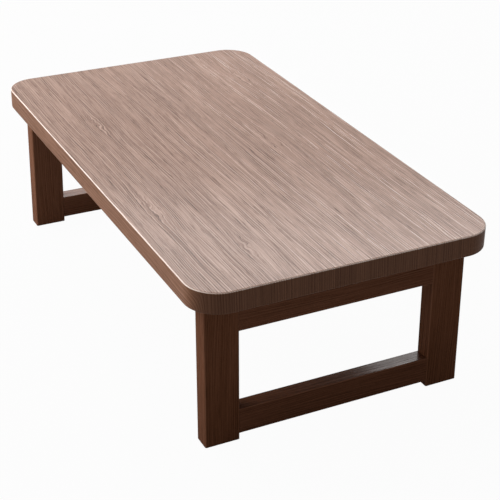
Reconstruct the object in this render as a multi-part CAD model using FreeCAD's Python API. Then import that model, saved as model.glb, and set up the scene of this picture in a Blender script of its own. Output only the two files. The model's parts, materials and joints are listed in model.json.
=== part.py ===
"""Folding low table: a rounded top on two end frames, which fold flat under it on locking brackets.

Millimetres. The origin is on the floor under the middle of the top. X runs along the table's length,
Y across it and Z up. "right" is the +X end, "left" the -X end, "front" the -Y side and "back" the +Y side.
"""

import FreeCAD, Part
import math
import os

V = FreeCAD.Vector
X_AXIS = V(1, 0, 0)
Y_AXIS = V(0, 1, 0)
Z_AXIS = V(0, 0, 1)
OUT_DIR = "parts"
FULL_TURN = 360.0
HALF_TURN = 180.0
QUARTER_TURN = 90.0

# Table top: a board, thickened round its rim by glued strips and corner blocks
TABLE_LENGTH = 900.0
TABLE_WIDTH = 500.0
TABLE_HEIGHT = 285.0
CORNER_RADIUS = 52.0
BOARD_THICKNESS = 18.0
STRIP_HEIGHT = 17.0
SIDE_SWING_GAP = 5.0
END_SWING_GAP = 22.0
RECESS_CORNER_RADIUS = 8.0
TOP_ARRIS_RADIUS = 2.2
LOWER_ARRIS_RADIUS = 2.0

# End frames: two legs, a top rail and a floor stretcher, dowelled together, that stand splayed outwards
SPLAY_DEGREES = 2.0
END_OVERHANG = 44.0
SIDE_OVERHANG = 27.0
LEG_WIDTH = 57.0
LEG_DEPTH = 30.0
LEG_ARRIS_RADIUS = 2.5
RAIL_HEIGHT = 79.0
STRETCHER_HEIGHT = 43.0
STRETCHER_FLOOR_GAP = 11.0
BAR_RECESS = 1.0
BAR_ARRIS_RADIUS = 2.0
DOWEL_RADIUS = 4.0
DOWEL_LENGTH = 35.0
DOWEL_END_GAP = 1.0
DOWEL_CLEARANCE = 0.05
DOWEL_CHAMFER = 0.8
DOWEL_HEIGHT_SHARES = (0.27, 0.73)
PAD_THICKNESS = 2.0
PAD_MARGIN = 4.0
PAD_CORNER_RADIUS = 5.0

# Folding bracket: a plate on the board and a plate on the leg, cheek to cheek on one pin
PIVOT_DROP = 20.0
PIVOT_SETBACK = 20.0
PLATE_THICKNESS = 2.0
PLATE_REACH = 46.0
PLATE_HEEL = 11.0
PLATE_CORNER_RADIUS = 4.0
LEG_PLATE_WIDTH = 27.0
CHEEK_CLEARANCE = 0.3
CHEEK_LOBE_RADIUS = 10.0
BEND_RADIUS = 1.8
PIN_RADIUS = 3.0
PIN_HEAD_RADIUS = 5.2
PIN_HEAD_HEIGHT = 2.0
PIN_HEAD_ROUND = 0.9
RUNNING_CLEARANCE = 0.05
FIXED_CLEARANCE = 0.02

# Lock: a spring plunger on the leg plate drops into a hole in a hub that stays with the board
HUB_RADIUS = 12.0
HUB_WIDTH = 9.0
HUB_CHAMFER = 0.6
NOTCH_DEPTH = 3.5
NOTCH_CLEARANCE = 0.2
NOSE_GAP = 0.3
NOSE_RADIUS = 2.5
NOSE_LENGTH = 3.0
NOSE_CHAMFER = 0.5
COLLAR_RADIUS = 4.2
COLLAR_HEIGHT = 2.0
STEM_RADIUS = 2.0
SPRING_SPACE = 7.0
SPRING_COIL_RADIUS = 3.2
SPRING_WIRE_RADIUS = 0.3
SPRING_TURNS = 4
SPRING_END_GAP = 0.1
ARCS_PER_TURN = 4
ARC_POINT_SHARES = (0, 0.5, 1)
GUIDE_HEIGHT = 8.0
GUIDE_DEPTH = 12.0
KNOB_GAP = 5.0
KNOB_RADIUS = 6.5
KNOB_HEIGHT = 10.0
KNOB_ROUND = 2.5
KNOB_GRIP_DEPTH = 7.0

# Countersunk wood screws that hold the plates
SCREW_RADIUS = 1.8
SCREW_LENGTH = 14.0
SCREW_HEAD_RADIUS = 3.8
SCREW_TIP_LENGTH = 3.0
SCREW_SPREAD = 14.0
SCREW_CLEARANCE = 0.05
SCREW_REACH_SHARES = (0.34, 0.83)
DRIVE_SLOT_WIDTH = 0.9
DRIVE_SLOT_DEPTH = 0.9
DRIVE_SLOT_LENGTH_SHARE = 1.1

CUT_OVERRUN = 5.0

# Places worked out from the sizes above
half_length = TABLE_LENGTH / 2
half_width = TABLE_WIDTH / 2
board_underside = TABLE_HEIGHT - BOARD_THICKNESS
strip_underside = board_underside - STRIP_HEIGHT
side_strip_width = SIDE_OVERHANG - SIDE_SWING_GAP
end_strip_width = END_OVERHANG - END_SWING_GAP
leg_outer_x = half_length - END_OVERHANG
leg_inner_x = leg_outer_x - LEG_DEPTH
leg_outer_y = half_width - SIDE_OVERHANG
leg_inner_y = leg_outer_y - LEG_WIDTH
leg_middle_y = (leg_outer_y + leg_inner_y) / 2
bar_depth = LEG_DEPTH - 2 * BAR_RECESS
bar_inner_x = leg_inner_x + BAR_RECESS
pivot_x = leg_inner_x - PIVOT_SETBACK
pivot_z = board_underside - PIVOT_DROP

# The frames are drawn upright, then splayed about the pins, which lifts their outer face and moves their feet
splay = math.radians(SPLAY_DEGREES)
splay_lift = (leg_outer_x - pivot_x) * math.sin(splay)
foot_middle_x = (pivot_x + ((leg_inner_x + leg_outer_x) / 2 - pivot_x) / math.cos(splay)
                 + (pivot_z - PAD_THICKNESS) * math.tan(splay))
rail_bottom = board_underside - splay_lift - RAIL_HEIGHT
stretcher_bottom = STRETCHER_FLOOR_GAP - splay_lift

leg_cheek_outer = LEG_PLATE_WIDTH / 2
leg_cheek_inner = leg_cheek_outer - PLATE_THICKNESS
top_cheek_inner = leg_cheek_outer + CHEEK_CLEARANCE
top_cheek_outer = top_cheek_inner + PLATE_THICKNESS

# Distances from the pivot along the plunger, away from the hub
nose_tip = HUB_RADIUS + NOSE_GAP
collar_near = nose_tip + NOSE_LENGTH
collar_far = collar_near + COLLAR_HEIGHT
guide_near = collar_far + SPRING_SPACE
guide_far = guide_near + GUIDE_HEIGHT
knob_near = guide_far + KNOB_GAP
knob_far = knob_near + KNOB_HEIGHT

ENDS = {"right": 1, "left": -1}
SIDES = {"front": -1, "back": 1}


def box(low, high):
    """A box between two opposite corners."""
    size = high - low
    return Part.makeBox(size.x, size.y, size.z, low)


def rod(radius, start, direction, length):
    """A round bar from start along direction."""
    return Part.makeCylinder(radius, length, start, direction)


def edges_where(shape, test):
    """The edges whose ends and middle all pass a test on a point."""
    chosen = []
    for edge in shape.Edges:
        middle = edge.valueAt((edge.FirstParameter + edge.LastParameter) / 2)
        points = [vertex.Point for vertex in edge.Vertexes] + [middle]
        if all(test(point) for point in points):
            chosen.append(edge)
    return chosen


def near(value, target):
    """True where two lengths are the same, apart from rounding."""
    return abs(value - target) < Part.Precision.confusion() * TABLE_LENGTH


def rounded_prism(half_x, half_y, radius, low_z, high_z):
    """An upright prism with a rounded rectangle as its outline, centred on Z."""
    block = box(V(-half_x, -half_y, low_z), V(half_x, half_y, high_z))
    upright = edges_where(block, lambda p: near(abs(p.x), half_x) and near(abs(p.y), half_y))
    return block.makeFillet(radius, upright)


def prism_across(points, low_y, high_y):
    """An outline in the XZ plane, swept along Y."""
    corners = [V(x, low_y, z) for x, z in points]
    face = Part.Face(Part.makePolygon(corners + corners[:1]))
    return face.extrude(V(0, high_y - low_y, 0))


def lathe(profile):
    """A closed outline of (radius, distance) points, turned about the line that runs down from the pivot."""
    corners = [V(radius, 0, -distance) for radius, distance in profile]
    face = Part.Face(Part.makePolygon(corners + corners[:1]))
    return face.revolve(V(0, 0, 0), Z_AXIS, FULL_TURN)


def splayed(shape, pin):
    """A piece drawn for the upright right-hand frame, tipped outwards about the pins to how it stands."""
    placed = shape.copy()
    placed.rotate(pin, Y_AXIS, -SPLAY_DEGREES)
    return placed


def at_end(shape, end):
    """A shape made for the right end, turned round to the left one where that is asked for."""
    placed = shape.copy()
    if ENDS[end] < 0:
        placed.rotate(V(0, 0, 0), Z_AXIS, HALF_TURN)
    return placed


def at_bracket(shape, end, side):
    """A bracket piece made round its own pivot, moved to one of the four legs."""
    placed = shape.copy()
    placed.translate(V(pivot_x, ENDS[end] * SIDES[side] * leg_middle_y, pivot_z))
    return at_end(placed, end)


def countersunk_screw(clearance):
    """A screw from its head's flat face along +Z. With a clearance it is the hole for the screw."""
    tip_start = SCREW_LENGTH - SCREW_TIP_LENGTH
    head = Part.makeCone(SCREW_HEAD_RADIUS + clearance, SCREW_RADIUS + clearance, PLATE_THICKNESS)
    shank = rod(SCREW_RADIUS + clearance, V(0, 0, 0), Z_AXIS, tip_start)
    tip = Part.makeCone(SCREW_RADIUS + clearance, clearance, SCREW_TIP_LENGTH, V(0, 0, tip_start))
    screw = head.fuse([shank, tip]).removeSplitter()
    if clearance:
        return screw
    half_slot = SCREW_HEAD_RADIUS * DRIVE_SLOT_LENGTH_SHARE / 2
    half_width_slot = DRIVE_SLOT_WIDTH / 2
    along = box(V(-half_slot, -half_width_slot, 0), V(half_slot, half_width_slot, DRIVE_SLOT_DEPTH))
    across = box(V(-half_width_slot, -half_slot, 0), V(half_width_slot, half_slot, DRIVE_SLOT_DEPTH))
    return screw.cut(along.fuse(across))


def top_plate_screws(clearance):
    """The screws that run up from the top plate into the board, round the pivot."""
    made = []
    for share in SCREW_REACH_SHARES:
        for way in SIDES.values():
            screw = countersunk_screw(clearance)
            place = V(-PLATE_REACH * share, way * SCREW_SPREAD / 2, PIVOT_DROP - PLATE_THICKNESS)
            screw.translate(place)
            made.append(screw)
    return made


def leg_plate_screws(clearance):
    """The screws that run outwards from the leg plate into the leg, round the pivot."""
    made = []
    for share in SCREW_REACH_SHARES:
        for way in SIDES.values():
            screw = countersunk_screw(clearance)
            screw.rotate(V(0, 0, 0), Y_AXIS, QUARTER_TURN)
            place = V(PIVOT_SETBACK - PLATE_THICKNESS, way * SCREW_SPREAD / 2, -PLATE_REACH * share)
            screw.translate(place)
            made.append(screw)
    return made


def table_top():
    """The board, and the rim under it cut into strips and corner blocks."""
    board = rounded_prism(half_length, half_width, CORNER_RADIUS, board_underside, TABLE_HEIGHT)
    rim_edges = edges_where(board, lambda p: near(p.z, TABLE_HEIGHT))
    board = board.makeFillet(TOP_ARRIS_RADIUS, rim_edges)
    for end in ENDS:
        for side in SIDES:
            board = board.cut([at_bracket(hole, end, side) for hole in top_plate_screws(SCREW_CLEARANCE)])
    pieces = {"top_board": board}

    rim = rounded_prism(half_length, half_width, CORNER_RADIUS, strip_underside, board_underside)
    rim = rim.makeFillet(LOWER_ARRIS_RADIUS, edges_where(rim, lambda p: near(p.z, strip_underside)))
    recess = rounded_prism(half_length - end_strip_width, half_width - side_strip_width, RECESS_CORNER_RADIUS,
                           strip_underside - CUT_OVERRUN, board_underside + CUT_OVERRUN)
    rim = rim.cut(recess)
    straight_x = half_length - CORNER_RADIUS
    straight_y = half_width - CORNER_RADIUS
    low_z = strip_underside - CUT_OVERRUN
    high_z = board_underside + CUT_OVERRUN
    for side, way in SIDES.items():
        reach = sorted((way * straight_y, way * (half_width + CUT_OVERRUN)))
        pieces[f"{side}_edge_strip"] = rim.common(
            box(V(-straight_x, reach[0], low_z), V(straight_x, reach[1], high_z)))
    for end, sense in ENDS.items():
        reach = sorted((sense * straight_x, sense * (half_length + CUT_OVERRUN)))
        pieces[f"{end}_edge_strip"] = rim.common(
            box(V(reach[0], -straight_y, low_z), V(reach[1], straight_y, high_z)))
        for side, way in SIDES.items():
            across = sorted((way * straight_y, way * (half_width + CUT_OVERRUN)))
            pieces[f"corner_block_{side}_{end}"] = rim.common(
                box(V(reach[0], across[0], low_z), V(reach[1], across[1], high_z)))
    return pieces


def dowels_at(bottom, height, clearance, end_gap):
    """The dowels through both ends of a cross bar, at the right end of the table."""
    made = []
    length = DOWEL_LENGTH + 2 * end_gap
    for share in DOWEL_HEIGHT_SHARES:
        for way in SIDES.values():
            start = V(bar_inner_x + bar_depth / 2, way * leg_inner_y - length / 2, bottom + height * share)
            made.append(rod(DOWEL_RADIUS + clearance, start, Y_AXIS, length))
    return made


def frame_dowels(clearance=0.0, end_gap=0.0):
    """All the dowels of the right-hand frame, or with a clearance the holes for them."""
    return (dowels_at(rail_bottom, RAIL_HEIGHT, clearance, end_gap)
            + dowels_at(stretcher_bottom, STRETCHER_HEIGHT, clearance, end_gap))


def leg(side):
    """One leg of the right-hand frame, with its long arrises rounded, too long at both ends."""
    way = SIDES[side]
    reach = sorted((way * leg_inner_y, way * leg_outer_y))
    block = box(V(leg_inner_x, reach[0], PAD_THICKNESS - CUT_OVERRUN),
                V(leg_outer_x, reach[1], board_underside + CUT_OVERRUN))
    upright = edges_where(block, lambda p: (near(p.x, leg_inner_x) or near(p.x, leg_outer_x))
                          and (near(p.y, reach[0]) or near(p.y, reach[1])))
    block = block.makeFillet(LEG_ARRIS_RADIUS, upright)
    holes = frame_dowels(DOWEL_CLEARANCE, DOWEL_END_GAP)
    holes += [at_bracket(hole, "right", side) for hole in leg_plate_screws(SCREW_CLEARANCE)]
    return block.cut(holes)


def cross_bar(bottom, height):
    """A bar of the right-hand frame that runs from leg to leg."""
    low = V(bar_inner_x, -leg_inner_y, bottom)
    high = V(bar_inner_x + bar_depth, leg_inner_y, bottom + height)
    block = box(low, high)
    arrises = edges_where(block, lambda p: (near(p.x, low.x) or near(p.x, high.x))
                          and (near(p.z, low.z) or near(p.z, high.z)))
    return block.makeFillet(BAR_ARRIS_RADIUS, arrises).cut(frame_dowels(DOWEL_CLEARANCE, DOWEL_END_GAP))


def chamfered_dowels():
    """The right-hand frame's dowels with their ends broken."""
    made = []
    for dowel in frame_dowels():
        rims = [edge for edge in dowel.Edges if edge.isClosed()]
        made.append(dowel.makeChamfer(DOWEL_CHAMFER, rims))
    return Part.makeCompound(made)


def foot_pads():
    """A felt pad under each leg of the right-hand frame."""
    half_x = LEG_DEPTH / 2 - PAD_MARGIN
    half_y = LEG_WIDTH / 2 - PAD_MARGIN
    made = []
    for way in SIDES.values():
        pad = rounded_prism(half_x, half_y, PAD_CORNER_RADIUS, 0, PAD_THICKNESS)
        pad.translate(V(foot_middle_x, way * leg_middle_y, 0))
        made.append(pad)
    return Part.makeCompound(made)


def end_frame(end):
    """The wooden frame at one end: legs, rail, stretcher, dowels and pads."""
    pin = V(pivot_x, 0, pivot_z)
    between_pads_and_board = box(V(0, -half_width, PAD_THICKNESS), V(half_length, half_width, board_underside))
    pieces = {}
    for side, way in SIDES.items():
        made_for = "back" if ENDS[end] * way > 0 else "front"
        trimmed = splayed(leg(made_for), pin).common(between_pads_and_board)
        pieces[f"{end}_{side}_leg"] = at_end(trimmed, end)
    rail = cross_bar(rail_bottom, RAIL_HEIGHT)
    stretcher = cross_bar(stretcher_bottom, STRETCHER_HEIGHT)
    pieces[f"{end}_top_rail"] = at_end(splayed(rail, pin), end)
    pieces[f"{end}_stretcher"] = at_end(splayed(stretcher, pin), end)
    pieces[f"{end}_frame_dowels"] = at_end(splayed(chamfered_dowels(), pin), end)
    pieces[f"{end}_foot_pads"] = at_end(foot_pads(), end)
    return pieces


def cheek_pair(points, inner, outer):
    """Two upright cheeks with a round lobe at the pivot, one each side of the bracket's middle."""
    lobe = rod(CHEEK_LOBE_RADIUS, V(0, inner, 0), Y_AXIS, outer - inner)
    cheek = prism_across(points, inner, outer).fuse(lobe).removeSplitter()
    return [cheek, cheek.mirror(V(0, 0, 0), Y_AXIS)]


def top_plate():
    """The pressed plate under the board: a flat base with a cheek down each side of the pin."""
    base = box(V(-PLATE_REACH, -top_cheek_outer, PIVOT_DROP - PLATE_THICKNESS),
               V(PLATE_HEEL, top_cheek_outer, PIVOT_DROP))
    corners = edges_where(base, lambda p: near(p.x, -PLATE_REACH) and near(abs(p.y), top_cheek_outer))
    base = base.makeFillet(PLATE_CORNER_RADIUS, corners)
    outline = [(PLATE_HEEL, PIVOT_DROP - PLATE_THICKNESS), (CHEEK_LOBE_RADIUS, 0), (-CHEEK_LOBE_RADIUS, 0),
               (PLATE_CORNER_RADIUS - PLATE_REACH, PIVOT_DROP - PLATE_THICKNESS)]
    cheeks = cheek_pair(outline, top_cheek_inner, top_cheek_outer)
    plate = base.fuse(cheeks).removeSplitter()
    bends = edges_where(plate, lambda p: near(abs(p.y), top_cheek_outer) and near(p.z, PIVOT_DROP))
    plate = plate.makeFillet(BEND_RADIUS, bends)
    pin_hole = rod(PIN_RADIUS + FIXED_CLEARANCE, V(0, -half_width, 0), Y_AXIS, TABLE_WIDTH)
    return plate.cut([pin_hole] + top_plate_screws(SCREW_CLEARANCE))


def leg_plate():
    """The pressed plate on the leg: a flat base with a cheek each side, inside the top plate's cheeks."""
    base = box(V(PIVOT_SETBACK - PLATE_THICKNESS, -leg_cheek_outer, -PLATE_REACH),
               V(PIVOT_SETBACK, leg_cheek_outer, PLATE_HEEL))
    corners = edges_where(base, lambda p: near(p.z, -PLATE_REACH) and near(abs(p.y), leg_cheek_outer))
    base = base.makeFillet(PLATE_CORNER_RADIUS, corners)
    face_x = PIVOT_SETBACK - PLATE_THICKNESS
    outline = [(face_x, PLATE_HEEL), (0, CHEEK_LOBE_RADIUS), (-CHEEK_LOBE_RADIUS, 0),
               (-CHEEK_LOBE_RADIUS, -guide_far), (face_x, PLATE_CORNER_RADIUS - PLATE_REACH)]
    cheeks = cheek_pair(outline, leg_cheek_inner, leg_cheek_outer)
    plate = base.fuse(cheeks).removeSplitter()
    bends = edges_where(plate, lambda p: near(abs(p.y), leg_cheek_outer) and near(p.x, PIVOT_SETBACK))
    plate = plate.makeFillet(BEND_RADIUS, bends)
    pin_hole = rod(PIN_RADIUS + RUNNING_CLEARANCE, V(0, -half_width, 0), Y_AXIS, TABLE_WIDTH)
    return plate.cut([pin_hole] + leg_plate_screws(SCREW_CLEARANCE))


def pivot_pin():
    """The pin through both pairs of cheeks, with a rounded head outside each."""
    shaft = rod(PIN_RADIUS, V(0, -top_cheek_outer, 0), Y_AXIS, 2 * top_cheek_outer)
    heads = []
    for way in SIDES.values():
        head = rod(PIN_HEAD_RADIUS, V(0, way * top_cheek_outer, 0), Y_AXIS * way, PIN_HEAD_HEIGHT)
        rim = edges_where(head, lambda p: near(abs(p.y), top_cheek_outer + PIN_HEAD_HEIGHT))
        heads.append(head.makeFillet(PIN_HEAD_ROUND, rim))
    return shaft.fuse(heads).removeSplitter()


def lock_hub():
    """The disc on the pin that stays with the board, with a hole for each of the two locked places."""
    half_hub = HUB_WIDTH / 2
    disc = rod(HUB_RADIUS, V(0, -half_hub, 0), Y_AXIS, HUB_WIDTH)
    disc = disc.makeChamfer(HUB_CHAMFER, [edge for edge in disc.Edges if edge.isClosed()])
    bore = rod(PIN_RADIUS + FIXED_CLEARANCE, V(0, -HUB_WIDTH, 0), Y_AXIS, 2 * HUB_WIDTH)
    notches = []
    standing = V(math.sin(splay), 0, -math.cos(splay))
    for direction in (standing, -X_AXIS):
        floor = direction * (HUB_RADIUS - NOTCH_DEPTH)
        notches.append(rod(NOSE_RADIUS + NOTCH_CLEARANCE, floor, direction, NOTCH_DEPTH + CUT_OVERRUN))
    return disc.cut([bore] + notches)


def guide_block():
    """The block between the leg plate's cheeks that guides the plunger and carries its spring."""
    half_depth = GUIDE_DEPTH / 2
    block = box(V(-half_depth, -leg_cheek_inner, -guide_far), V(half_depth, leg_cheek_inner, -guide_near))
    hole = rod(STEM_RADIUS + RUNNING_CLEARANCE, V(0, 0, -guide_far - CUT_OVERRUN), Z_AXIS,
               GUIDE_HEIGHT + 2 * CUT_OVERRUN)
    return block.cut(hole)


def lock_plunger():
    """The turned plunger: a nose, a collar that the spring pushes on, and a stem down to the knob."""
    stem_end = knob_near + KNOB_GRIP_DEPTH
    return lathe([(0, nose_tip), (NOSE_RADIUS - NOSE_CHAMFER, nose_tip),
                  (NOSE_RADIUS, nose_tip + NOSE_CHAMFER), (NOSE_RADIUS, collar_near),
                  (COLLAR_RADIUS, collar_near), (COLLAR_RADIUS, collar_far),
                  (STEM_RADIUS, collar_far), (STEM_RADIUS, stem_end), (0, stem_end)])


def pull_knob():
    """The moulded knob on the plunger's free end."""
    knob = rod(KNOB_RADIUS, V(0, 0, -knob_far), Z_AXIS, KNOB_HEIGHT)
    knob = knob.makeFillet(KNOB_ROUND, [edge for edge in knob.Edges if edge.isClosed()])
    socket = rod(STEM_RADIUS + FIXED_CLEARANCE, V(0, 0, -knob_near - KNOB_GRIP_DEPTH), Z_AXIS,
                 KNOB_GRIP_DEPTH + CUT_OVERRUN)
    return knob.cut(socket)


def coil_point(turn):
    """A point of the spring's centreline, by the number of turns from its upper end."""
    inset = SPRING_WIRE_RADIUS + SPRING_END_GAP
    climb = (SPRING_SPACE - 2 * inset) / SPRING_TURNS
    angle = 2 * math.pi * turn
    return V(SPRING_COIL_RADIUS * math.cos(angle), SPRING_COIL_RADIUS * math.sin(angle),
             -collar_far - inset - climb * turn)


def lock_spring():
    """The compression spring round the stem, between the collar and the guide block."""
    arcs = []
    for step in range(ARCS_PER_TURN * SPRING_TURNS):
        start, middle, end = (coil_point((step + share) / ARCS_PER_TURN) for share in ARC_POINT_SHARES)
        arcs.append(Part.Arc(start, middle, end).toShape())
    path = Part.Wire(arcs)
    first = arcs[0]
    section = Part.Circle(first.valueAt(first.FirstParameter), first.tangentAt(first.FirstParameter),
                          SPRING_WIRE_RADIUS)
    return path.makePipeShell([Part.Wire(section.toShape())], True, False)


def spring_gap():
    """The least gap between the spring's turns, measured on points of its centreline."""
    steps = 24
    points = [coil_point(step / steps) for step in range(SPRING_TURNS * steps + 1)]
    apart = steps // 2
    least = min((points[i] - points[j]).Length
                for i in range(len(points)) for j in range(i + apart, len(points)))
    return least - 2 * SPRING_WIRE_RADIUS


PIECES_ON_THE_BOARD = {
    "top_plate": top_plate,
    "pivot_pin": pivot_pin,
    "lock_hub": lock_hub,
}
PIECES_ON_THE_LEG = {
    "leg_plate": leg_plate,
    "guide_block": guide_block,
    "lock_plunger": lock_plunger,
    "pull_knob": pull_knob,
    "lock_spring": lock_spring,
}


def brackets():
    """The four folding brackets, and the screws that hold them in three groups."""
    pieces = {}
    pin = V(0, 0, 0)
    made_pieces = {name: make() for name, make in PIECES_ON_THE_BOARD.items()}
    made_pieces.update({name: splayed(make(), pin) for name, make in PIECES_ON_THE_LEG.items()})
    for name, made in made_pieces.items():
        for end in ENDS:
            for side in SIDES:
                pieces[f"{end}_{side}_{name}"] = at_bracket(made, end, side)
    into_board = []
    for end in ENDS:
        into_legs = []
        for side in SIDES:
            into_board += [at_bracket(screw, end, side) for screw in top_plate_screws(0.0)]
            into_legs += [at_bracket(splayed(screw, pin), end, side) for screw in leg_plate_screws(0.0)]
        pieces[f"{end}_leg_plate_screws"] = Part.makeCompound(into_legs)
    pieces["top_plate_screws"] = Part.makeCompound(into_board)
    return pieces


def main():
    os.makedirs(OUT_DIR, exist_ok=True)
    pieces = table_top()
    for end in ENDS:
        pieces.update(end_frame(end))
    pieces.update(brackets())
    for name, shape in pieces.items():
        sound = shape.isValid() and all(solid.Volume > 0 for solid in shape.Solids)
        print(f"{name}: {len(shape.Solids)} solids, {shape.Volume:.1f} mm3{'' if sound else ' NOT SOUND'}")
        shape.exportStep(os.path.join(OUT_DIR, name + ".step"))
    print(f"{len(pieces)} pieces, spring turns {spring_gap():.2f} mm apart")


main()
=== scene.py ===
"""Looks of the folding low table: stained and brushed wood, black brackets, plated steel and felt feet."""

import json
import math

import bpy
from mathutils import Matrix, Vector


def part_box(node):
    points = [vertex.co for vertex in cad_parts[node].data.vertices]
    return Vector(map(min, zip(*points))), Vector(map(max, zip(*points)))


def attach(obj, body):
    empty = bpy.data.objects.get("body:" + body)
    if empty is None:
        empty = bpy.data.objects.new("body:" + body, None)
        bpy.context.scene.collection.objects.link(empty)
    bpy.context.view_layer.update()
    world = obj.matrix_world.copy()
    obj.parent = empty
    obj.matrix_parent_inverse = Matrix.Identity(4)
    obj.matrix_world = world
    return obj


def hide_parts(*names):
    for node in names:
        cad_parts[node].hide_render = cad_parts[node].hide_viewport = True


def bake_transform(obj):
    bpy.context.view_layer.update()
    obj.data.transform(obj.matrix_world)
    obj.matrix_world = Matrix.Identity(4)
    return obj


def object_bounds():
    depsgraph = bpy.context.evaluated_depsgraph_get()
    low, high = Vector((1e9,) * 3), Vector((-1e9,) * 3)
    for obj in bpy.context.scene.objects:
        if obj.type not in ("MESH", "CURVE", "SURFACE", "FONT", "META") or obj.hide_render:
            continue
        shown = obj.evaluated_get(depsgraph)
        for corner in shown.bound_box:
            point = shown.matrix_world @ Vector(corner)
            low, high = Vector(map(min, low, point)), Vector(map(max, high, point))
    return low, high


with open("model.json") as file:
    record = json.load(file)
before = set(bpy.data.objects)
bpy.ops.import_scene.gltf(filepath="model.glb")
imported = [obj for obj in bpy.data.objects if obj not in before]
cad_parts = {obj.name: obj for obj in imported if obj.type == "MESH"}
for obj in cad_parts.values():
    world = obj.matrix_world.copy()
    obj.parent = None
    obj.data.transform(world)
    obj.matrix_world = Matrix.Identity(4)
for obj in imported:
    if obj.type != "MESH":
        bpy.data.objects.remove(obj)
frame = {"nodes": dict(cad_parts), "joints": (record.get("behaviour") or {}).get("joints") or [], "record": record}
cad_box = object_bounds()

MM = 0.001
PER_MM = 1000.0
UPRIGHT = Vector((0.0, 0.0, 1.0))
WHITE = (1.0, 1.0, 1.0, 1.0)

# The photograph's view: the point in the middle of the frame, and the camera's place round it
FRAME_PIXELS = 500
FOCAL_PIXELS = 1303.9
SENSOR_WIDTH = 36.0
VIEW_POINT = Vector((0.2929, -0.0934, 0.250))
VIEW_FRONT = -90.0
VIEW_AZIMUTH = 63.264
VIEW_ELEVATION = 28.211
VIEW_DISTANCE = 1.9764
VIEW_ROLL = 1.008

# Lights: compass direction, height and tilt from the table, in degrees, and distance and size in metres.
# Only the sheen is mirrored in what is polished, so that no other side of the top goes white.
SOFTBOXES = {
    "window": {"azimuth": 217.0, "elevation": 36.0, "tilt": 0.0, "distance": 3.6, "size": (6.0, 4.4),
               "watts": 302.0, "mirrored": False},
    "sheen": {"azimuth": 150.0, "elevation": 38.5, "tilt": 4.5, "distance": 8.0, "size": (10.5, 3.0),
              "watts": 233.0, "mirrored": True},
    "fill": {"azimuth": 345.0, "elevation": 12.0, "tilt": 0.0, "distance": 8.0, "size": (10.0, 3.0),
             "watts": 103.0, "mirrored": False},
}
AMBIENT = 0.14
FLOOR_SIZE = 80.0
FLOOR_DROP = 0.0004
FLOOR_TONE = 0.31
FLOOR_GLOW_SHARE = 0.965

# Grain: how long and how wide each part of it is, and how far it wanders, in millimetres
GRAIN_RUN = 420.0
GRAIN_DRIFT = 85.0
GRAIN_WANDER = 16.0
RIPPLE_RUN = 80.0
RIPPLE_DRIFT = 20.0
RIPPLE_WANDER = 3.5
RING_WIDTH = 3.8
RING_RUN = 165.0
RING_DRIFT = 15.0
BAND_RUN = 120.0
BAND_WIDTH = 13.0
FIBRE_RUN = 210.0
FIBRE_WIDTH = 1.15
PORE_RUN = 40.0
PORE_WIDTH = 0.8
GRAIN_DEPTH = 40.0
STAIN_RUN = 420.0
STAIN_WIDTH = 60.0

# Grain: its slope into the wood, how many rings it wanders, and where each part begins and is full
GRAIN_SLOPE = 0.6
RING_WANDER = 2.0
LATE_EDGES = (0.25, 1.0)
BAND_EDGES = (0.34, 0.62)
BAND_LEAST = 0.38
PORE_EDGES = (0.55, 0.68)
NOISE_MIDDLE = 0.5
NOISE_SEEDS = {"ripple": 5.0, "ring": 2.0, "band": 1.0, "fibre": 3.0, "pore": 7.0, "cloud": 11.0}

# Tone: what each part of the grain adds to it, and where on it the four stains stand
FIGURE_LIFT = 0.168
FIBRE_SHARE = 1.4
LATE_SHARE = 0.40
PORE_SHARE = 0.46
CLOUD_SHARE = 0.25
# How far arrises go paler, towards the bare stain: wear, and a painted highlight
WEAR_AND_HIGHLIGHT_SHARE = 0.7
DARK_TONE, MIDDLE_TONE, LIGHT_TONE, BARE_AND_HIGHLIGHT_TONE = 0.08, 0.5, 0.84, 1.0

# Surface of the wood: its roughness, how far the figure shows in the polish, and how deep it is brushed
WOOD_ROUGHNESS = 0.50
PORE_ROUGHNESS = 0.14
POLISH_FIGURE = 1.2
GRAIN_RELIEF = 0.35 * MM
GRAIN_RELIEF_SHARE = 0.5
GRAIN_RELIEF_STRENGTH = 0.6

# Kinds of wood: stains from dark to bare, the seed of their grain, their shine and how soft their polish is; the
# bare stain is what arrises reach, and the top's pale bare stain is a painted highlight
TOP = {
    "stain": ((0.0825, 0.0369, 0.0213), (0.225, 0.1077, 0.063), (0.353, 0.195, 0.130), (0.84, 0.70, 0.62)),
    "seed": 0.0, "gloss": 0.05, "polish_roughness": 0.17,
}
LEG = {
    "stain": ((0.054, 0.019, 0.008), (0.128, 0.049, 0.024), (0.190, 0.082, 0.046), (0.220, 0.099, 0.057)),
    "seed": 20.0, "gloss": 0.01, "polish_roughness": 0.27,
}
BAR = {
    "stain": ((0.055, 0.020, 0.009), (0.131, 0.051, 0.027), (0.195, 0.086, 0.050), (0.225, 0.103, 0.061)),
    "seed": 40.0, "gloss": 0.01, "polish_roughness": 0.24,
}
BEECH = {
    "stain": ((0.30, 0.19, 0.10), (0.50, 0.34, 0.20), (0.58, 0.42, 0.26), (0.62, 0.46, 0.30)),
    "seed": 60.0, "gloss": 0.1, "polish_roughness": 0.27,
}

# Ways a surface faces: how far up counts as flat or as the top's arris, and how far endways as an end
FLAT_EDGES = (0.80, 0.98)
ARRIS_EDGES = (0.10, 0.40)
END_SOAK_EDGES = (0.15, 0.75)
END_TURN_EDGES = (0.35, 0.8)

# Top: its grain is faint on the sides and runs down the ends, which drink more; the front carries painted shade,
# and the whole top painted light
TOP_SIDE_SHOW = 0.45
TOP_SIDE_POLISH = 0.02
TOP_POLISH = 0.82
TOP_ARRIS_POLISH = 0.90
TOP_END_TURN = 0.93
END_GRAIN_SOAK = 0.30
TOP_PAINTED_SHADE_TO_FRONT = 0.08
TOP_PAINTED_LIGHT = 0.025

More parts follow.
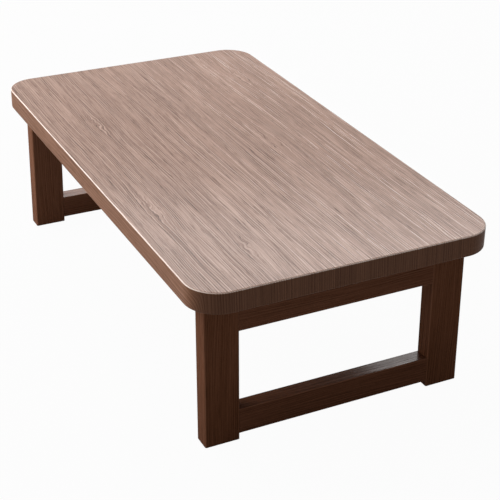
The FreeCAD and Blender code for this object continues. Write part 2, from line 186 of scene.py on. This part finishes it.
# Eyes in the top's figure, where the grain parts: place, length and width in millimetres
EYES = (
    {"x": -185.0, "y": -162.0, "run": 60.0, "width": 18.0},
    {"x": 161.0, "y": -201.0, "run": 75.0, "width": 18.0},
    {"x": 345.0, "y": -121.0, "run": 65.0, "width": 16.0},
    {"x": 20.0, "y": 90.0, "run": 80.0, "width": 20.0},
    {"x": -290.0, "y": 175.0, "run": 65.0, "width": 16.0},
)
EYE_OPEN = 0.6
EYE_RIPPLE = 7.0
EYE_RIPPLE_RUN = 16.0
EYE_RIPPLE_DRIFT = 9.0
EYE_RIPPLE_SEED = 13.0

# Planks of the frames: painted light on the left frame, painted shade towards the floor, and arrises worn paler
# with a painted highlight
LEFT_TO_RIGHT = (-100.0, 100.0)
LEFT_FRAME_PAINTED_LIGHT = 0.27
FOOT_TO_RAIL = (10.0, 170.0)
LEG_FOOT_PAINTED_SHADE = 0.18
BAR_FOOT_PAINTED_SHADE = 0.20
PLANK_SHOW = 0.55
PLANK_ARRIS_EDGES = (0.15, 0.5)
PLANK_WEAR_AND_HIGHLIGHT = 0.6
BAR_POLISH = 0.8
DOWEL_SHOW = 0.4
DOWEL_POLISH = 0.02

# Small parts: sizes of their texture in millimetres, tones, roughness and relief
POWDER = {"peel": 0.6, "cloud": 14.0, "seed": 5.0, "reach": (0.3, 0.7), "roughness": 0.42, "uneven": 0.18,
          "black": (0.016, 0.016, 0.017), "grey": (0.034, 0.034, 0.036),
          "relief": 0.05 * MM, "strength": 0.5}
PLATING = {"cloud": 5.0, "marks": (6.0, 0.25, 6.0), "seed": 4.0, "reach": (0.3, 0.7), "dull": 0.62,
           "roughness": 0.26, "uneven": 0.16, "relief": 0.02 * MM, "strength": 0.4}
MOULDING = {"grain": 0.35, "cloud": 9.0, "seed": 6.0, "reach": (0.35, 0.75), "worn": 1.7,
            "roughness": 0.48, "uneven": 0.14, "relief": 0.03 * MM, "strength": 0.6}
FELT = {"one_way": (2.4, 0.25, 0.25), "other_way": (0.25, 2.4, 0.25), "seed": 9.0, "reach": (0.4, 0.75),
        "dark": (0.020, 0.016, 0.014), "pale": (0.085, 0.072, 0.062), "roughness": 0.95, "gloss": 0.15,
        "sheen": 0.3, "relief": 0.25 * MM, "strength": 0.9}
STEELS = {"pin_steel": (0.62, 0.62, 0.63), "screw_steel": (0.56, 0.56, 0.55),
          "spring_steel": (0.50, 0.50, 0.52)}
PLASTICS = {"knob_plastic": (0.014, 0.014, 0.015), "guide_plastic": (0.035, 0.035, 0.037)}

# Pull knobs: grip ribs round each one
KNOB_RIBS = 26
RIB_RADIUS = 0.45 * MM
RIB_LENGTH = 5.2 * MM
RIB_SIDES = 8

# Lock springs: how far from the bracket's pin each one stands, and its height and wire
SPRING_FOOT = 23.9 * MM
SPRING_HEIGHT = 6.2 * MM
SPRING_TURNS = 4.0
WIRE_RADIUS = 0.3 * MM
COIL_STEPS = 28
WIRE_SIDES = 8


class Field:
    """A number that varies over a surface. Arithmetic on it adds Math nodes to its finish."""

    def __init__(self, finish, socket):
        self.finish = finish
        self.socket = socket

    def math(self, operation, *others):
        inputs = dict(enumerate((self, *others)))
        node = self.finish.node("ShaderNodeMath", {"operation": operation}, inputs)
        return Field(self.finish, node.outputs[0])

    def __add__(self, other):
        return self.math("ADD", other)

    def __sub__(self, other):
        return self.math("SUBTRACT", other)

    def __mul__(self, other):
        return self.math("MULTIPLY", other)

    def __truediv__(self, other):
        return self.math("DIVIDE", other)

    def __rsub__(self, other):
        return (self * -1.0) + other

    __radd__ = __add__
    __rmul__ = __mul__

    def __abs__(self):
        return self.math("ABSOLUTE")

    def step(self, low, high):
        """0 below low, 1 above high, and smooth in between."""
        node = self.finish.node("ShaderNodeMapRange", {"interpolation_type": "SMOOTHSTEP"},
                                {"Value": self, "From Min": low, "From Max": high})
        return Field(self.finish, node.outputs["Result"])


class Finish:
    """A material or a surround under construction, with one method for every kind of node."""

    def __init__(self, owner):
        owner.use_nodes = True
        self.owner = owner
        self.tree = owner.node_tree
        self.tree.nodes.clear()

    def node(self, kind, settings=None, inputs=None):
        """Adds a node: its settings first, then a value or a link for each named or numbered input."""
        node = self.tree.nodes.new(kind)
        for key, value in (settings or {}).items():
            if key == "stops":
                self.set_stops(node.color_ramp, value)
            else:
                setattr(node, key, value)
        for key, value in (inputs or {}).items():
            if isinstance(value, Field):
                value = value.socket
            if isinstance(value, bpy.types.NodeSocket):
                self.tree.links.new(value, node.inputs[key])
            else:
                node.inputs[key].default_value = value
        return node

    @staticmethod
    def set_stops(ramp, stops):
        for index, (place, colour) in enumerate(stops):
            stop = ramp.elements[index] if index < len(ramp.elements) else ramp.elements.new(place)
            stop.position = place
            stop.color = (*colour, 1.0)

    def field(self, node, output=0):
        return Field(self, node.outputs[output])

    def place(self):
        """The point on the piece, in millimetres, as three fields."""
        coordinates = self.node("ShaderNodeTexCoord")
        split = self.node("ShaderNodeSeparateXYZ", inputs={0: coordinates.outputs["Object"]})
        return [self.field(split, axis) * PER_MM for axis in range(3)]

    def facing(self):
        """The way the surface faces, as three fields."""
        coordinates = self.node("ShaderNodeTexCoord")
        split = self.node("ShaderNodeSeparateXYZ", inputs={0: coordinates.outputs["Normal"]})
        return [self.field(split, axis) for axis in range(3)]

    def noise(self, point, sizes, detail=2.0, seed=0.0):
        """Soft noise from 0 to 1, with lumps of the given sizes along three fields."""
        scaled = [axis / size for axis, size in zip(point, sizes)]
        vector = self.node("ShaderNodeCombineXYZ", inputs=dict(enumerate(scaled)))
        texture = self.node("ShaderNodeTexNoise", {"noise_dimensions": "4D"},
                            {"Vector": vector.outputs[0], "W": seed, "Scale": 1.0, "Detail": detail})
        return self.field(texture)

    def ramp(self, amount, stops):
        return self.node("ShaderNodeValToRGB", {"stops": stops}, {0: amount}).outputs["Color"]

    def relief(self, height, distance, strength):
        inputs = {"Height": height, "Distance": distance, "Strength": strength}
        return self.node("ShaderNodeBump", inputs=inputs).outputs["Normal"]

    def surface(self, **inputs):
        """Closes the material with one principled surface."""
        named = {key.replace("_", " "): value for key, value in inputs.items()}
        shader = self.node("ShaderNodeBsdfPrincipled", inputs=named)
        self.node("ShaderNodeOutputMaterial", inputs={"Surface": shader.outputs[0]})
        return self.owner


def new_finish(name):
    return Finish(bpy.data.materials.new(name))


def evenly(size):
    """The same size along all three axes."""
    return (size, size, size)


def wood(finish, point, kind, show, polish, worn, soak_and_painted_shading=0.0):
    """Stained wood: wandering bands, fibres and short pores, polished as given, worn paler as given (wear and a
    painted highlight), and soaked darker as given (soaked end grain, with painted shade and painted light).
    """
    along, across, depth = point
    seeds = {part: kind["seed"] + seed for part, seed in NOISE_SEEDS.items()}
    drift = finish.noise(point, (GRAIN_RUN, GRAIN_DRIFT, GRAIN_DRIFT), detail=1.0, seed=kind["seed"])
    ripple = finish.noise(point, (RIPPLE_RUN, RIPPLE_DRIFT, RIPPLE_DRIFT), detail=1.0, seed=seeds["ripple"])
    wander = (drift - NOISE_MIDDLE) * GRAIN_WANDER + (ripple - NOISE_MIDDLE) * RIPPLE_WANDER
    swept = (along, across + depth * GRAIN_SLOPE + wander, depth)
    uneven = finish.noise(swept, (RING_RUN, RING_DRIFT, GRAIN_DEPTH), detail=1.0, seed=seeds["ring"])
    bands = finish.noise(swept, (BAND_RUN, BAND_WIDTH, GRAIN_DEPTH), detail=1.0, seed=seeds["band"])
    ring = (swept[1] / RING_WIDTH + uneven * RING_WANDER).math("FRACT")
    late = ring.step(*LATE_EDGES) * (BAND_LEAST + bands.step(*BAND_EDGES) * (1.0 - BAND_LEAST))
    fibre = finish.noise(swept, (FIBRE_RUN, FIBRE_WIDTH, GRAIN_DEPTH), seed=seeds["fibre"])
    pores = finish.noise(swept, (PORE_RUN, PORE_WIDTH, GRAIN_DEPTH), seed=seeds["pore"]).step(*PORE_EDGES)
    cloud = finish.noise(point, (STAIN_RUN, STAIN_WIDTH, STAIN_WIDTH), seed=seeds["cloud"])

    figure = FIGURE_LIFT + (fibre - NOISE_MIDDLE) * FIBRE_SHARE - late * LATE_SHARE - pores * PORE_SHARE
    stained = MIDDLE_TONE + figure * show + (cloud - NOISE_MIDDLE) * CLOUD_SHARE
    # The worn part is wear and painted highlight; the soak part is end-grain soak, painted shade and painted light
    tone = stained.math("MINIMUM", LIGHT_TONE) + worn * WEAR_AND_HIGHLIGHT_SHARE - soak_and_painted_shading
    brushed = fibre * GRAIN_RELIEF_SHARE - late * GRAIN_RELIEF_SHARE - pores * GRAIN_RELIEF_SHARE
    return finish.surface(
        Base_Color=finish.ramp(tone, zip((DARK_TONE, MIDDLE_TONE, LIGHT_TONE, BARE_AND_HIGHLIGHT_TONE), kind["stain"])),
        Roughness=WOOD_ROUGHNESS + pores * PORE_ROUGHNESS,
        Specular_IOR_Level=kind["gloss"],
        Coat_Weight=polish * (1.0 + figure * POLISH_FIGURE),
        Coat_Roughness=kind["polish_roughness"],
        Normal=finish.relief(brushed, GRAIN_RELIEF, GRAIN_RELIEF_STRENGTH),
    )


def top_wood():
    """The top's wood: grain along it that turns down over the ends, polished above, pale on the arris as a painted
    highlight.
    """
    finish = new_finish("top_wood")
    x, y, z = finish.place()
    end, _, up = finish.facing()
    above = up.step(*FLAT_EDGES)
    arris = up.step(*ARRIS_EDGES) * (1.0 - above)
    low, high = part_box("front_edge_strip")[0].z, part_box("top_board")[1].z
    front, back = (corner.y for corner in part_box("top_board"))
    depth = (z - (low + high) / 2 * PER_MM) * (1.0 - abs(end).step(*END_TURN_EDGES) * TOP_END_TURN)
    curl = finish.noise((x, y, z), (EYE_RIPPLE_RUN, EYE_RIPPLE_DRIFT, EYE_RIPPLE_DRIFT), detail=1.0,
                        seed=EYE_RIPPLE_SEED)
    # Painted shade towards the front edge, and painted light over the whole top
    painted_light_and_shade = (y / ((back - front) * PER_MM) * TOP_PAINTED_SHADE_TO_FRONT + TOP_PAINTED_LIGHT) * above
    across = y
    for eye in EYES:
        off_x, off_y = (x - eye["x"]) / eye["run"], (y - eye["y"]) / eye["width"]
        near = (off_x * off_x * -1.0 - off_y * off_y).math("EXPONENT")
        across = across + near * ((eye["y"] - y) * EYE_OPEN + (curl - NOISE_MIDDLE) * EYE_RIPPLE)
    # The arris given as worn is a painted highlight: the top's arris is painted pale to stand for the light it
    # catches
    return wood(finish, (x, across, depth), TOP, show=TOP_SIDE_SHOW + above * (1.0 - TOP_SIDE_SHOW),
                polish=TOP_SIDE_POLISH + above * TOP_POLISH + arris * TOP_ARRIS_POLISH, worn=arris,
                soak_and_painted_shading=abs(end).step(*END_SOAK_EDGES) * END_GRAIN_SOAK - painted_light_and_shade)


def plank_painted_shading(x, z, foot_painted_shade):
    """How much darker a plank is painted: painted shade towards the floor, and painted light that makes the left
    frame paler.
    """
    # pale: painted light that makes the left frame paler
    pale = (1.0 - x.step(*LEFT_TO_RIGHT)) * LEFT_FRAME_PAINTED_LIGHT
    # Darker towards the floor: painted shade
    return (1.0 - z.step(*FOOT_TO_RAIL)) * foot_painted_shade - pale


def plank_wear_and_highlight(one_way, other_way):
    """How much an arris between two faces of a plank is painted paler: wear and a painted highlight."""
    return abs(one_way * other_way).step(*PLANK_ARRIS_EDGES) * PLANK_WEAR_AND_HIGHLIGHT


def leg_wood():
    """The legs' wood, with upright grain, long arrises worn paler with a painted highlight, painted shade towards
    the floor and painted light in the left frame.
    """
    finish = new_finish("leg_wood")
    x, y, z = finish.place()
    end, side, _ = finish.facing()
    return wood(finish, (z, y, x), LEG, show=PLANK_SHOW, polish=0.0, worn=plank_wear_and_highlight(end, side),
                soak_and_painted_shading=plank_painted_shading(x, z, LEG_FOOT_PAINTED_SHADE))


def bar_wood():
    """The wood of the rails and stretchers, with grain from leg to leg, arrises worn paler with a painted
    highlight, painted shade towards the floor and painted light in the left frame.
    """
    finish = new_finish("bar_wood")
    x, y, z = finish.place()
    end, _, up = finish.facing()
    return wood(finish, (y, z, x), BAR, show=PLANK_SHOW, polish=up.step(*FLAT_EDGES) * BAR_POLISH,
                worn=plank_wear_and_highlight(end, up), soak_and_painted_shading=plank_painted_shading(x, z, BAR_FOOT_PAINTED_SHADE))


def dowel_wood():
    """Plain beech."""
    finish = new_finish("dowel_wood")
    x, y, z = finish.place()
    return wood(finish, (y, z, x), BEECH, show=DOWEL_SHOW, polish=DOWEL_POLISH, worn=0.0)


def powder_coat():
    """Black powder coat on pressed steel: a fine orange-peel skin, cloudy with a little grey."""
    finish = new_finish("powder_coat")
    point = finish.place()
    peel = finish.noise(point, evenly(POWDER["peel"]))
    cloud = finish.noise(point, evenly(POWDER["cloud"]), detail=3.0, seed=POWDER["seed"])
    return finish.surface(
        Base_Color=finish.ramp(cloud, zip(POWDER["reach"], (POWDER["black"], POWDER["grey"]))),
        Roughness=POWDER["roughness"] + cloud * POWDER["uneven"],
        Normal=finish.relief(peel, POWDER["relief"], POWDER["strength"]),
    )


def plated_steel(name):
    """Zinc-plated steel with faint turning marks and cloudy plating."""
    finish = new_finish(name)
    point = finish.place()
    cloud = finish.noise(point, evenly(PLATING["cloud"]), detail=3.0)
    marks = finish.noise(point, PLATING["marks"], detail=1.0, seed=PLATING["seed"])
    bright = STEELS[name]
    dull = tuple(PLATING["dull"] * part for part in bright)
    return finish.surface(
        Base_Color=finish.ramp(cloud, zip(PLATING["reach"], (dull, bright))),
        Metallic=1.0,
        Roughness=PLATING["roughness"] + cloud * PLATING["uneven"],
        Normal=finish.relief(marks, PLATING["relief"], PLATING["strength"]),
    )


def moulded_plastic(name):
    """Matt moulded plastic with a fine spark-eroded grain."""
    finish = new_finish(name)
    point = finish.place()
    grain = finish.noise(point, evenly(MOULDING["grain"]))
    cloud = finish.noise(point, evenly(MOULDING["cloud"]), seed=MOULDING["seed"])
    fresh = PLASTICS[name]
    worn = tuple(MOULDING["worn"] * part for part in fresh)
    return finish.surface(
        Base_Color=finish.ramp(cloud, zip(MOULDING["reach"], (fresh, worn))),
        Roughness=MOULDING["roughness"] + grain * MOULDING["uneven"],
        Normal=finish.relief(grain, MOULDING["relief"], MOULDING["strength"]),
    )


def felt():
    """Dense dark felt: matted fibres lying every way."""
    finish = new_finish("felt")
    x, y, z = finish.place()
    one_way = finish.noise((x + y, x - y, z), FELT["one_way"])
    other_way = finish.noise((x + y, x - y, z), FELT["other_way"], seed=FELT["seed"])
    fibres = one_way.math("MAXIMUM", other_way)
    return finish.surface(
        Base_Color=finish.ramp(fibres, zip(FELT["reach"], (FELT["dark"], FELT["pale"]))),
        Roughness=FELT["roughness"],
        Specular_IOR_Level=FELT["gloss"],
        Sheen_Weight=FELT["sheen"],
        Normal=finish.relief(fibres, FELT["relief"], FELT["strength"]),
    )


def dress_cad_nodes(finishes):
    """Gives each CAD node the finish of its material slot, and the legs their own upright grain."""
    by_slot = {part["node"]: part["material_slot"] for part in frame["record"]["subparts"]}
    for name, node in frame["nodes"].items():
        finish = finishes["leg_wood"] if name.endswith("_leg") else finishes[by_slot[name]]
        node.data.materials.clear()
        node.data.materials.append(finish)


class Grower:
    """A node tree that makes a shape out of named sizes."""

    def __init__(self, name, sizes):
        self.tree = bpy.data.node_groups.new(name, "GeometryNodeTree")
        for label, kind in sizes.items():
            self.tree.interface.new_socket(label, in_out="INPUT", socket_type=kind)
        self.tree.interface.new_socket("Geometry", in_out="OUTPUT", socket_type="NodeSocketGeometry")
        self.given = self.tree.nodes.new("NodeGroupInput").outputs

    def node(self, kind, **inputs):
        """Adds a node, with a value or a link for each of its named inputs."""
        node = self.tree.nodes.new(kind)
        for key, value in inputs.items():
            socket = node.inputs[key.replace("_", " ")]
            if isinstance(value, bpy.types.NodeSocket):
                self.tree.links.new(value, socket)
            else:
                socket.default_value = value
        return node.outputs

    def close(self, geometry, finish):
        """Ends the tree with the shape moved to its place, made real and given its finish."""
        moved = self.node("GeometryNodeTransform", Geometry=geometry, Translation=self.given["Place"],
                          Rotation=self.given["Turn"])
        real = self.node("GeometryNodeRealizeInstances", Geometry=moved["Geometry"])
        painted = self.node("GeometryNodeSetMaterial", Geometry=real["Geometry"], Material=finish)
        self.node("NodeGroupOutput", Geometry=painted["Geometry"])
        return self.tree


def rib_tree(finish):
    """A ring of upright ribs, closed at both ends, round a point."""
    grower = Grower("knob_ribs", {
        "Count": "NodeSocketInt", "Ring Radius": "NodeSocketFloat", "Rib Radius": "NodeSocketFloat",
        "Rib Length": "NodeSocketFloat", "Place": "NodeSocketVector", "Turn": "NodeSocketRotation"})
    given = grower.given
    ring = grower.node("GeometryNodeMeshCircle", Vertices=given["Count"], Radius=given["Ring Radius"])
    rib = grower.node("GeometryNodeMeshCylinder", Vertices=RIB_SIDES, Radius=given["Rib Radius"],
                      Depth=given["Rib Length"])
    copies = grower.node("GeometryNodeInstanceOnPoints", Points=ring["Mesh"], Instance=rib["Mesh"])
    return grower.close(copies["Instances"], finish)


def coil_tree(finish):
    """An upright coil of round wire, closed at both ends, that stands on a point."""
    grower = Grower("spring_coil", {
        "Turns": "NodeSocketFloat", "Coil Radius": "NodeSocketFloat", "Wire Radius": "NodeSocketFloat",
        "Height": "NodeSocketFloat", "Place": "NodeSocketVector", "Turn": "NodeSocketRotation"})
    given = grower.given
    line = grower.node("GeometryNodeCurveSpiral", Resolution=COIL_STEPS, Rotations=given["Turns"],
                       Start_Radius=given["Coil Radius"], End_Radius=given["Coil Radius"],
                       Height=given["Height"])
    section = grower.node("GeometryNodeCurvePrimitiveCircle", Resolution=WIRE_SIDES,
                          Radius=given["Wire Radius"])
    wire = grower.node("GeometryNodeCurveToMesh", Curve=line["Curve"], Profile_Curve=section["Curve"],
                       Fill_Caps=True)
    return grower.close(wire["Mesh"], finish)


def grown(name, tree, **inputs):
    """A plain mesh object made by a node tree with the given inputs."""
    piece = bpy.data.objects.new(name, bpy.data.meshes.new(name))
    bpy.context.scene.collection.objects.link(piece)
    modifier = piece.modifiers.new("grow", "NODES")
    modifier.node_group = tree
    labels = {label.replace("_", " ").title(): value for label, value in inputs.items()}
    for item in tree.interface.items_tree:
        if item.in_out == "INPUT":
            modifier[item.identifier] = labels[item.name]
    depsgraph = bpy.context.evaluated_depsgraph_get()
    mesh = bpy.data.meshes.new_from_object(piece.evaluated_get(depsgraph), depsgraph=depsgraph)
    piece.modifiers.remove(modifier)
    piece.data = mesh
    mesh.name = name
    return piece


def middle_of(node):
    """The middle of a CAD node's box."""
    low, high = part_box(node)
    return (low + high) / 2


def lock_directions():
    """The way each lock's plunger points, up to its hub, by the name of its corner."""
    slides = [joint for joint in frame["joints"] if joint["type"] == "slide"]
    return {slide["child"].removesuffix("_lock"): -Vector(slide["axis"]).normalized() for slide in slides}


def upright_to(upward):
    """The turn that tips something upright to the given way up."""
    return UPRIGHT.rotation_difference(upward).to_euler()


def ribbed_knobs(finish):
    """Grip ribs round the four pull knobs."""
    tree = rib_tree(finish)
    for corner, upward in lock_directions().items():
        knob = f"{corner}_pull_knob"
        low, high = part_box(knob)
        ribs = grown(f"{corner}_knob_ribs", tree, count=KNOB_RIBS, ring_radius=(high.y - low.y) / 2,
                     rib_radius=RIB_RADIUS, rib_length=RIB_LENGTH,
                     place=middle_of(knob), turn=upright_to(upward))
        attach(ribs, f"{corner}_lock")


def lock_springs(finish):
    """The four lock springs between the guide block and the plunger's collar."""
    tree = coil_tree(finish)
    for corner, upward in lock_directions().items():
        node = f"{corner}_lock_spring"
        low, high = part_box(node)
        foot = middle_of(f"{corner}_pivot_pin") - upward * SPRING_FOOT
        spring = grown(f"{corner}_spring_coil", tree, turns=SPRING_TURNS, wire_radius=WIRE_RADIUS,
                       coil_radius=(high.y - low.y) / 2 - WIRE_RADIUS, height=SPRING_HEIGHT,
                       place=foot, turn=upright_to(upward))
        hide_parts(node)
        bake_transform(spring)


def direction(azimuth, elevation):
    """The way from the table to something at a compass angle from +X and a height angle, in degrees."""
    around, up = math.radians(azimuth), math.radians(elevation)
    return Vector((math.cos(around) * math.cos(up), math.sin(around) * math.cos(up), math.sin(up)))


def softboxes():
    """Wide soft lamps that look at the middle of the table."""
    middle = (cad_box[0] + cad_box[1]) / 2
    for name, box in SOFTBOXES.items():
        lamp = bpy.data.lights.new(name, "AREA")
        lamp.shape = "RECTANGLE"
        lamp.size, lamp.size_y = box["size"]
        lamp.energy = box["watts"]
        holder = bpy.data.objects.new(name, lamp)
        away = direction(box["azimuth"], box["elevation"])
        tilt = Matrix.Rotation(math.radians(box["tilt"]), 3, "Z")
        holder.location = middle + away * box["distance"]
        holder.rotation_euler = (away.to_track_quat("Z", "Y").to_matrix() @ tilt).to_euler()
        holder.visible_glossy = box["mirrored"]
        bpy.context.scene.collection.objects.link(holder)


def seen_directly(finish):
    """1 for what is seen straight, mirrored or through glass, and 0 for light that falls on things."""
    path = finish.node("ShaderNodeLightPath")
    rays = [finish.field(path, ray) for ray in ("Is Camera Ray", "Is Glossy Ray", "Is Transmission Ray")]
    return rays[0].math("MAXIMUM", rays[1]).math("MAXIMUM", rays[2])


def surround():
    """A white surround that lights gently."""
    world = Finish(bpy.data.worlds.new("studio"))
    bpy.context.scene.world = world.owner
    strength = AMBIENT + seen_directly(world) * (1.0 - AMBIENT)
    glow = world.node("ShaderNodeBackground", inputs={"Color": WHITE, "Strength": strength})
    world.node("ShaderNodeOutputWorld", inputs={"Surface": glow.outputs[0]})


def pale_floor():
    """A pale floor that keeps a soft shadow and is clear from below."""
    ground = new_finish("floor")
    matt = ground.node("ShaderNodeBsdfDiffuse", inputs={"Color": (*evenly(FLOOR_TONE), 1.0)})
    white = ground.node("ShaderNodeEmission", inputs={"Color": WHITE, "Strength": 1.0})
    above = ground.node("ShaderNodeMixShader", inputs={
        0: seen_directly(ground) * FLOOR_GLOW_SHARE, 1: matt.outputs[0], 2: white.outputs[0]})
    below = ground.node("ShaderNodeBsdfTransparent")
    side = ground.node("ShaderNodeNewGeometry").outputs["Backfacing"]
    both = ground.node("ShaderNodeMixShader", inputs={0: side, 1: above.outputs[0], 2: below.outputs[0]})
    ground.node("ShaderNodeOutputMaterial", inputs={"Surface": both.outputs[0]})
    half = FLOOR_SIZE / 2
    mesh = bpy.data.meshes.new("floor")
    corners = [(x, y, -FLOOR_DROP) for x, y in ((-half, -half), (half, -half), (half, half), (-half, half))]
    mesh.from_pydata(corners, [], [(0, 1, 2, 3)])
    mesh.materials.append(ground.owner)
    floor = bpy.data.objects.new("floor", mesh)
    bpy.context.scene.collection.objects.link(floor)


def camera():
    """A camera at the photograph's viewing angle, with its slight roll."""
    back = direction(VIEW_FRONT + VIEW_AZIMUTH, VIEW_ELEVATION)
    turn = Matrix.Rotation(math.radians(VIEW_ROLL), 3, back)
    right = turn @ UPRIGHT.cross(back).normalized()
    upward = back.cross(right)
    place = VIEW_POINT + back * VIEW_DISTANCE
    lens = bpy.data.cameras.new("camera")
    lens.sensor_width = SENSOR_WIDTH
    lens.lens = FOCAL_PIXELS / FRAME_PIXELS * SENSOR_WIDTH
    holder = bpy.data.objects.new("camera", lens)
    holder.matrix_world = Matrix.Translation(place) @ Matrix((right, upward, back)).transposed().to_4x4()
    bpy.context.scene.collection.objects.link(holder)
    bpy.context.scene.camera = holder


def main():
    finishes = {
        "top_wood": top_wood(),
        "leg_wood": leg_wood(),
        "frame_wood": bar_wood(),
        "dowel_wood": dowel_wood(),
        "pad_felt": felt(),
        "bracket_steel": powder_coat(),
    }
    finishes.update({name: plated_steel(name) for name in STEELS})
    finishes.update({name: moulded_plastic(name) for name in PLASTICS})
    finishes["rim_wood"] = finishes["top_wood"]
    dress_cad_nodes(finishes)
    ribbed_knobs(finishes["knob_plastic"])
    lock_springs(finishes["spring_steel"])
    softboxes()
    surround()
    pale_floor()
    camera()
    bpy.context.scene.view_settings.view_transform = "Standard"


main()
